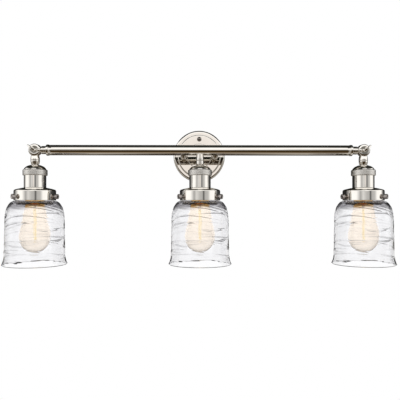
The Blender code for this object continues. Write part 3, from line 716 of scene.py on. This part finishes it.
def make_gallery(name):
    """The glass holder: a softly domed top, a straight wall and a rolled lower edge."""
    node = f"gallery_{name}"
    low, high = box_of(node)
    outer, wall = (high.x - low.x) / 2, 1.3
    hole = radius_of(f"socket_shell_{name}") - 1.9
    top, bottom = high.z, low.z
    points = outline(
        (hole, top, 0.3), (hole + 3.0, top, 3.0), (outer - 5.0, top - 2.6, 6.0),
        (outer, top - 4.4, 3.4), (outer, bottom, 2.0),
        (outer - wall - 0.3, bottom, 0.5), (outer - wall, top - 6.2, 2.4),
        (outer - 5.4, top - 4.0, 3.0), (hole, top - 1.3, 0.2),
    )
    gallery = turned(f"glass_holder_{name}", points, NICKEL, lamp_origin(name), ring=True,
                     steps=160)
    screw_hole_points = [(0, 52), (2.5, 52), (2.5, 34), (0, 34)]
    for letter in "abc":
        screw_hole = turned("hole", screw_hole_points, NICKEL, screw_origin(name, letter),
                            screw_turn(name, letter), steps=32)
        boolean(gallery, screw_hole, "DIFFERENCE")
    fit(gallery, LAMP_BODY[name], "polished_nickel", node)


def screw_direction(name, letter):
    """The way a glass screw points, from its lamp's axis, as its joint says."""
    joint = next(j for j in frame["joints"] if j["name"] == f"release_{name}_{letter}")
    return Vector(joint["axis"])


def screw_turn(name, letter):
    """Turns a piece made along +Z to point along a glass screw."""
    return screw_direction(name, letter).to_track_quat("Z", "Y").to_matrix().to_4x4()


def screw_origin(name, letter):
    """The point of a lamp's axis that a glass screw points away from."""
    origin = lamp_origin(name)
    origin.z = centre_of(f"glass_screw_{name}_{letter}").z
    return origin


def make_glass_screw(name, letter, gallery_r):
    """A round thumb screw with a fluted rim and a dished end."""
    node = f"glass_screw_{name}_{letter}"
    head, top, radius = gallery_r + 3.4, gallery_r + 9.2, 5.0
    points = outline(
        (0, top - 0.5), (2.6, top - 0.5, 0.4), (3.2, top, 0.3), (radius, top, 0.7),
        (radius, head, 0.7), (3.2, head, 0.4), (2.1, head - 1.2, 0.5), (2.1, 37.3, 0.4), (0, 37.3),
    )
    points = resampled(points, 0.35)
    points[0], points[-1] = (0, points[0][1]), (0, points[-1][1])
    # The glass screws wear nickel painted darker as shade and dark reflection
    screw = turned(f"glass_thumb_screw_{name}_{letter}", points, PAINTED_SHADE_NICKEL, screw_origin(name, letter),
                   screw_turn(name, letter), steps=132, shift=fluted(radius - 0.15, 0.22, 22))
    fit(screw, node, "polished_nickel", node)


# ---- glass bell ----

class Swirl:
    """Raised lines that wander round the glass, a slow ripple between them, and a crinkle above."""

    CRINKLE_END, CRINKLE_FADE = -165, 20

    def __init__(self, seed, top, bottom):
        rng = random.Random(seed)
        self.top, self.bottom = top, bottom
        self.lines = []
        height = top
        while height > bottom:
            self.lines.append({
                "height": height,
                "rise": rng.uniform(12, 21),
                "phase": rng.uniform(-0.6, 0.6),
                "wobble": rng.uniform(0.8, 2.6),
                "twist": rng.uniform(0, 2 * math.pi),
                "strength": rng.uniform(0.5, 0.95),
                "width": rng.uniform(0.75, 1.15),
                "fade": rng.uniform(0, 2 * math.pi),
            })
            height -= rng.uniform(6.5, 11)

    def raised(self, angles, height):
        """Millimetres that the surface stands proud at each angle at one height."""
        total = 0.22 * np.sin(3 * angles + height / 9) * np.sin(height / 13)
        total += 0.14 * np.sin(5 * angles - height / 6 + 1.0)
        crinkle = 0.10 * np.sin(9 * angles + height / 2.0) * np.sin(height / 3.1 - 2 * angles)
        total += crinkle * ramp(height, self.CRINKLE_END, self.CRINKLE_FADE)
        towards_rim = 0.75 + 0.25 * (height - self.bottom) / (self.top - self.bottom)
        for line in self.lines:
            wave = line["rise"] * np.cos(angles + math.pi / 2 + line["phase"])
            wave += line["wobble"] * np.sin(3 * angles + line["twist"])
            away = height - (line["height"] + wave)
            fade = 0.55 + 0.45 * np.sin(2 * angles + line["fade"])
            crest = np.exp(-((away / line["width"]) ** 2))
            total += line["strength"] * towards_rim * fade * crest
        return total


def bell_outline(name):
    """Outer and inner outlines of the bell, from its neck to the flared rim and back."""
    low, high = box_of(f"shade_{name}")
    rim_r, top, bottom = (high.y - low.y) / 2, high.z, low.z
    wall, neck_r, shoulder_start, rim_round = 2.3, 36.8, 38.4, 1.4
    shoulder_z, flare_z = top - 54.0, bottom + 23.0
    shoulder_r, body_r = rim_r - 5.9, rim_r - 4.7
    outer = outline((neck_r, top, 0.8), (neck_r + 1.9, top - 1.6, 0.8), (neck_r, top - 4.4, 0.8))
    outer += arc((neck_r + 3.0, top - 15.5), 3.0, 3.0, 180, 225, 4)
    outer += arc((shoulder_start, shoulder_z), shoulder_r - shoulder_start, 36.5, 84, 0, 22)
    rim_z = bottom + rim_round
    flare = [(body_r + (rim_r - body_r) * t ** 2.2, flare_z + (rim_z - flare_z) * t)
             for t in np.linspace(0, 1, 9)]
    rim = arc((rim_r - rim_round, rim_z), rim_round, rim_round, 0, -180, 9)
    inner_flare = [(r - wall, z) for r, z in flare[::-1]]
    start = neck_r - wall + 1.6
    inner = arc((start, shoulder_z), shoulder_r - wall - start, 33.5, 0, 86, 20)
    inner += [(neck_r - wall, top - 18), (neck_r - wall, top)]
    return outer + flare, rim + inner_flare + inner


def make_shade(name, seed, turn):
    """The bell with its swirl pattern turned by so many degrees about the lamp's axis."""
    outer, inner = bell_outline(name)
    outer, inner = resampled(outer, 0.6), resampled(inner, 2.6)
    top, bottom = outer[0][1], outer[-1][1]
    swirl = Swirl(seed, top - 30, bottom + 6)
    steps = 192
    sunk = 0.3                  # the pattern's lowest parts lie this far under the plain wall
    angles = np.linspace(0, 2 * math.pi, steps, endpoint=False)
    rows = outer + inner
    radii = np.empty((len(rows), steps))
    for i, (radius, height) in enumerate(rows):
        radii[i] = radius
        if i < len(outer):
            below_neck, above_rim = ramp(height, top - 20, -14), ramp(height, bottom, 8)
            raised = swirl.raised(angles - math.radians(turn), height)
            radii[i] += raised * below_neck * above_rim - sunk * below_neck
    heights = np.repeat(np.array([h for _, h in rows])[:, None], steps, axis=1)
    coords = np.stack([radii * np.cos(angles), radii * np.sin(angles), heights], axis=-1) * MM
    count = len(rows)
    grid = np.arange(count * steps).reshape(count, steps)
    right = np.roll(grid, -1, axis=1)
    below, below_right = np.roll(grid, -1, axis=0), np.roll(right, -1, axis=0)
    faces = np.stack([grid, below, below_right, right], axis=-1).reshape(-1, 4)
    mesh = bpy.data.meshes.new(f"bell_{name}")
    mesh.from_pydata(coords.reshape(-1, 3).tolist(), [], faces.tolist())
    finish_mesh(mesh, 60)
    shade = add(f"glass_bell_{name}", mesh, GLASS, lamp_origin(name))
    fit(shade, LAMP_BODY[name], "clear_glass", f"shade_{name}")


# ---- bulb ----

def bulb_outline(name):
    """The pear-shaped envelope from its neck to its pole, outside."""
    low, high = box_of(f"bulb_glass_{name}")
    radius = (high.x - low.x) / 2
    pole, neck_z = low.z, high.z - 5.0
    centre = pole + radius
    neck, shoulder = 11.9, 20.4
    points = [(neck, high.z), (neck, neck_z)]
    points += arc((neck, neck_z - 11.5), shoulder - neck, 10.5, 88, 20, 8)
    sides = [(20.6, neck_z - 15), (21.9, neck_z - 26), (24.4, neck_z - 39), (27.6, neck_z - 51)]
    points += sides + arc((0, centre), radius, radius, 14, -90, 24)
    points[-1] = (0, pole)
    return points


def smoothed(points):
    """The outline with its corners eased; its two ends stay."""
    pts = np.array(resampled(points, 1.6))
    for _ in range(3):
        pts[1:-1] = 0.25 * pts[:-2] + 0.5 * pts[1:-1] + 0.25 * pts[2:]
    return [tuple(p) for p in pts]


def make_bulb(name):
    """The thin envelope, the brass screw base with its thread as plain rings, and the filament."""
    at, body = lamp_origin(name), LAMP_BODY[name]
    outer = smoothed(bulb_outline(name))
    wall = 0.7
    round_end = 0.7 * len(outer)
    inner = [(max(0.0, r - wall), z + (wall if i > round_end else 0))
             for i, (r, z) in enumerate(outer)]
    inner[-1] = (0, outer[-1][1] + wall)
    glass = turned(f"bulb_envelope_{name}", inner[::-1] + outer, BULB, at, steps=112,
                   smooth_angle=70)
    fit(glass, body, "amber_glass", f"bulb_glass_{name}")

    low, high = box_of(f"bulb_base_{name}")
    base_r, top, bottom = (high.x - low.x) / 2, high.z, low.z
    contact_r, pitch = 4.6, 3.4
    corners = [(0, top), (contact_r, top, 0.8), (contact_r, top - 1.6), (8.0, top - 2.8, 0.6),
               (base_r - 1.2, top - 6, 1)]
    for k in range(5):
        crest = top - 8.2 - pitch * k
        corners += [(base_r, crest, 0.6), (base_r - 1.0, crest - 1.7, 0.6)]
    corners += [(base_r, bottom + 6.5, 0.5), (base_r, bottom, 0.2), (base_r - 0.6, bottom),
                (base_r - 0.6, bottom + 5.6), (0, bottom + 7.5)]
    base = turned(f"bulb_screw_base_{name}", outline(*corners), BRASS, at, steps=96)
    fit(base, body, "brass", f"bulb_base_{name}")
    make_filament(name, at, body)


def make_filament(name, at, body):
    """A glass stem and rod, support wires, and long strands that run up and down between them."""
    low, high = box_of(f"filament_{name}")
    root, bottom = high.z, low.z
    top = root - 22.5
    points = outline(
        (0, root), (10.0, root, 0.5), (10.0, root - 1.5, 0.6), (3.6, root - 6, 2),
        (2.6, root - 14, 1.2), (1.1, root - 17, 0.6), (1.1, bottom + 0.8, 0.6), (0, bottom + 0.2),
    )
    stem = turned(f"glass_stem_{name}", points, BULB, at, steps=32)
    fit(stem, body, "amber_glass", f"filament_{name}")
    cage, strands = 2.1, 6
    drift = 0.35                # share of the way to the next strand that a strand slants over
    ends = bottom + 1.5
    paths = []
    for k in range(strands):
        start, end = 2 * math.pi * k / strands, 2 * math.pi * (k + 1) / strands
        down = k % 2 == 0
        first, last = (top, ends) if down else (ends, top)
        for t in np.linspace(0, 1, 12, endpoint=False):
            angle = start + drift * (end - start) * t
            bow = cage + 0.4 * math.sin(math.pi * t)
            paths.append((bow * math.cos(angle), bow * math.sin(angle), first + (last - first) * t))
        for t in np.linspace(0, 1, 5, endpoint=False):
            angle = start + (drift + (1 - drift) * t) * (end - start)
            lift = 1.6 * math.sin(math.pi * t) * (-1 if down else 1)
            paths.append((cage * math.cos(angle), cage * math.sin(angle), last + lift))
    wire(f"filament_wire_{name}", paths, 0.25, FILAMENT, at, body, "filament")
    for end_name, height, reach in (("upper", top, 1), ("lower", ends, -1)):
        hub = (0, 0, height - 2 * reach)
        spokes = []
        for k in range(strands // 2):
            angle = 2 * math.pi * k / (strands // 2)
            spokes += [hub, (cage * math.cos(angle), cage * math.sin(angle), height)]
        spokes.append(hub)
        wire(f"filament_support_{end_name}_{name}", spokes, 0.22, SUPPORT, at, body, "zinc_steel")
    for side_name, side in (("left", -1), ("right", 1)):
        lead = [(side * 2.2, 0, root - 8), (side * 2.6, 0, root - 15), (side * cage, 0, top)]
        wire(f"lead_in_{side_name}_{name}", lead, 0.3, SUPPORT, at, body, "zinc_steel")


def wire(name, points, radius, material, at, body, slot_name):
    """A thin round wire through points in millimetres from a lamp's origin."""
    curve = bpy.data.curves.new(name, "CURVE")
    curve.dimensions = "3D"
    curve.bevel_depth = radius * MM
    curve.bevel_resolution = 2
    curve.use_fill_caps = True
    spline = curve.splines.new("POLY")
    spline.points.add(len(points) - 1)
    for point, co in zip(spline.points, points):
        point.co = (*(Vector(co) * MM), 1)
    obj = bpy.data.objects.new(name, curve)
    bpy.context.scene.collection.objects.link(obj)
    obj.location = at * MM
    curve.materials.append(material)
    fit(obj, body, slot_name)


# ---- CAD pieces that stay as they are ----

def dress_cad_nodes():
    """Materials for the hidden CAD nodes that no piece stands for."""
    kept = {"mounting_plate": ZINC, "ground_screw": GREEN, "stud_upper": ZINC, "stud_lower": ZINC,
            "wiring": SLEEVE}
    kept.update({f"contact_shell_{name}": BRASS for name in LAMPS})
    for node, material in kept.items():
        mesh = frame["nodes"][node].data
        mesh.materials.clear()
        mesh.materials.append(material)


# ---- studio ----

def aim_camera():
    """Below the bar, a little left of the middle, turned back towards it and tilted slightly up."""
    distance, below, turn, tilt, lens = 1000.0, 110.0, 0.82, 0.576, 44.78
    data = bpy.data.cameras.new("camera")
    data.sensor_width = 36.0
    data.lens = lens
    data.clip_start = 0.01
    camera = bpy.data.objects.new("camera", data)
    bpy.context.scene.collection.objects.link(camera)
    aside = -distance * math.tan(math.radians(turn))
    camera.location = Vector((aside, BAR.y - distance, BAR.z - below)) * MM
    camera.rotation_euler = (math.radians(90 + tilt), 0, math.radians(-turn))
    bpy.context.scene.camera = camera


def make_floor():
    """A pale floor under the object that fades away before its edges."""
    size, depth, fade_start, fade_end = 5.6, 1.75, 1.0, 2.7
    nodes = Nodes("pale_floor")
    nodes.drive("Base Color", nodes.mixed(nodes.noise(3), (0.80, 0.79, 0.77), (0.84, 0.83, 0.81)))
    nodes.set(Roughness=0.8)
    from_middle = nodes.add("ShaderNodeVectorMath", operation="LENGTH")
    nodes.link(nodes.space, from_middle.inputs[0])
    shown = nodes.between(from_middle.outputs["Value"], 1.0, 0.0, fade_start, fade_end)
    nodes.drive("Alpha", shown)
    bpy.ops.mesh.primitive_plane_add(size=size, location=(0, 0, -depth))
    floor = bpy.context.object
    floor.name = "floor"
    floor.data.materials.append(nodes.material)
    floor.visible_glossy = False
    floor.visible_transmission = False


class Sky(Tree):
    """The studio's light as a colour for each direction, built from world nodes.

    Azimuth is 0 towards the camera, positive to the viewer's right and 180 behind the object.
    """

    def __init__(self, tree):
        super().__init__(tree)
        direction = self.add("ShaderNodeTexCoord").outputs["Generated"]
        split = self.add("ShaderNodeSeparateXYZ")
        self.link(direction, split.inputs["Vector"])
        x, y, z = (split.outputs[axis] for axis in "XYZ")
        degrees = 180 / math.pi
        towards = self.math("MULTIPLY", y, -1)
        x_squared, y_squared = self.math("POWER", x, 2), self.math("POWER", y, 2)
        flat = self.math("SQRT", self.math("ADD", x_squared, y_squared))
        self.azimuth = self.math("MULTIPLY", self.math("ARCTAN2", x, towards), degrees)
        self.aside = self.math("ABSOLUTE", self.azimuth)
        self.elevation = self.math("MULTIPLY", self.math("ARCTAN2", z, flat), degrees)

    def share(self, angle, start, end):
        """Rises from 0 at the start angle to 1 at the end angle, which may be the smaller one."""
        node = self.add("ShaderNodeMapRange", [("From Min", start), ("From Max", end)],
                        interpolation_type="SMOOTHSTEP")
        self.link(angle, node.inputs["Value"])
        return node.outputs["Result"]

    def overlap(self, first, *others):
        """Where every one of several shares holds."""
        for other in others:
            first = self.math("MULTIPLY", first, other)
        return first

    def colours(self, angle, *stops):
        """A colour that changes through (angle, colour) stops; one number stands for a grey."""
        place = self.add("ShaderNodeMapRange", [("From Min", -180), ("From Max", 180)])
        self.link(angle, place.inputs["Value"])
        node = self.add("ShaderNodeValToRGB")
        elements = node.color_ramp.elements
        elements.remove(elements[0])
        for i, (at, colour) in enumerate(stops):
            element = elements[0] if i == 0 else elements.new((at + 180) / 360)
            element.position = (at + 180) / 360
            element.color = (*(colour if isinstance(colour, tuple) else [colour] * 3), 1)
        self.link(place.outputs["Result"], node.inputs["Fac"])
        return node.outputs["Color"]

    def mix(self, share, first, second):
        """Mixes two colours, each a socket or a triple; a share of 1 gives the second."""
        node = self.add("ShaderNodeMix", data_type="RGBA")
        self.link(share, node.inputs["Factor"])
        for socket, value in zip([s for s in node.inputs if s.type == "RGBA"], (first, second)):
            if isinstance(value, tuple):
                socket.default_value = (*value, 1)
            else:
                self.link(value, socket)
        return next(s for s in node.outputs if s.type == "RGBA")

    def background(self, colour, strength):
        node = self.add("ShaderNodeBackground", [("Strength", strength)])
        self.link(colour, node.inputs["Color"])
        return node.outputs["Background"]


def side_boxes(sky):
    """Level with the object: two wide soft boxes at the sides, and dimmer strips in front."""
    return sky.colours(
        sky.azimuth, (-128, 0.02), (-106, 0.35), (-82, 1.0), (-56, 0.95), (-34, 0.36), (-20, 0.66),
        (0, 0.46), (13, 0.42), (17, 0.13), (22, 0.13), (27, 0.42), (46, 0.5), (60, 0.95), (90, 1.0),
        (105, 0.22), (116, 0.05), (150, 0.02),
    )


def ceiling(sky):
    """Above the camera: a white sheet that turns black overhead, towards the sides and behind."""
    colour = sky.colours(
        sky.elevation, (4, (0.80, 0.76, 0.735)), (9, (0.84, 0.81, 0.79)), (15, 1.0), (48, 1.0),
        (57, 0.4), (66, (0.03, 0.035, 0.03)),
    )
    corners = sky.overlap(sky.share(sky.aside, 24, 34), sky.share(sky.elevation, 34, 42))
    colour = sky.mix(corners, colour, (0.03, 0.03, 0.027))
    return sky.mix(sky.share(sky.aside, 104, 118), colour, (0.015, 0.015, 0.012))


def room_below(sky):
    """Under the camera: a brown room with a pale strip low down, lighter sides and a dark back."""
    brown = (0.042, 0.026, 0.010)
    colour = sky.colours(
        sky.elevation, (-78, (0.05, 0.035, 0.02)), (-69, (0.30, 0.24, 0.18)),
        (-60, (0.37, 0.30, 0.22)), (-53, (0.11, 0.075, 0.04)), (-46, brown), (-8, brown),
        (-3, (0.09, 0.07, 0.045)),
    )
    sides = sky.overlap(sky.share(sky.aside, 30, 48), sky.share(sky.aside, 162, 146))
    colour = sky.mix(sides, colour, (0.34, 0.32, 0.29))
    return sky.mix(sky.share(sky.aside, 146, 162), colour, (0.03, 0.02, 0.013))


def studio_reflections(sky):
    """What polished metal sees: light boxes at the sides, white above, and a brown room below."""
    front = sky.overlap(sky.share(sky.aside, 5.2, 4.2), sky.share(sky.elevation, 1.6, 2.3))
    raised = sky.math("MAXIMUM", sky.share(sky.elevation, 8.5, 11.5), front)
    colour = sky.mix(raised, side_boxes(sky), ceiling(sky))
    grey_cards = sky.overlap(
        sky.share(sky.aside, 9, 12), sky.share(sky.aside, 27, 23),
        sky.share(sky.elevation, 4.0, 4.6), sky.share(sky.elevation, 15, 12.5),
    )
    colour = sky.mix(grey_cards, colour, (0.17, 0.165, 0.15))
    return sky.mix(sky.share(sky.elevation, -1, -5), colour, room_below(sky))


def window_light(sky):
    """What glass sees through itself: white windows behind and before it, and grey elsewhere."""
    behind, before = sky.share(sky.aside, 112, 135), sky.share(sky.aside, 62, 45)
    window = sky.overlap(sky.math("MAXIMUM", behind, before), sky.share(sky.elevation, 17, 4),
                         sky.share(sky.elevation, -24, -10))
    return sky.mix(window, (0.14, 0.137, 0.145), (0.81, 0.81, 0.815))


def light_studio():
    """The camera sees plain white, glass the windows, metal the boxes, and dull surfaces white."""
    strength, fill = 1.27, (0.88, 0.88, 0.88)
    scene = bpy.context.scene
    world = bpy.data.worlds.new("studio")
    scene.world = world
    world.use_nodes = True
    tree = world.node_tree
    tree.nodes.clear()
    sky = Sky(tree)
    path = sky.add("ShaderNodeLightPath")
    light = sky.mix(path.outputs["Is Transmission Ray"], studio_reflections(sky), window_light(sky))
    light = sky.mix(path.outputs["Is Diffuse Ray"], light, fill)
    plain = sky.add("ShaderNodeBackground", [("Color", (1, 1, 1, 1))])
    shaders = sky.add("ShaderNodeMixShader")
    sky.link(path.outputs["Is Camera Ray"], shaders.inputs["Fac"])
    sky.link(sky.background(light, strength), shaders.inputs[1])
    sky.link(plain.outputs["Background"], shaders.inputs[2])
    output = sky.add("ShaderNodeOutputWorld")
    sky.link(shaders.outputs["Shader"], output.inputs["Surface"])

    scene.view_settings.view_transform = "Standard"
    cycles = scene.cycles
    cycles.use_denoising = True
    cycles.max_bounces = 24
    cycles.transmission_bounces = 24
    cycles.glossy_bounces = 8
    cycles.caustics_reflective = False
    cycles.sample_clamp_indirect = 4.0


# ---- the object ----

dress_cad_nodes()
plate_face = make_backplate()
make_cap_nuts(plate_face)
make_posts(plate_face)
make_bar()
make_ferrules()
make_knuckle("left", -1)
make_knuckle("right", 1)
make_stem()
for lamp in LAMPS:
    make_collar(lamp)
    make_cap(lamp)
    make_socket(lamp)
    make_gallery(lamp)
    for screw_letter in "abc":
        make_glass_screw(lamp, screw_letter, radius_of(f"gallery_{lamp}"))
    make_shade(lamp, SWIRL_SEED, SWIRL_TURN[lamp])
    make_bulb(lamp)
aim_camera()
make_floor()
light_studio()
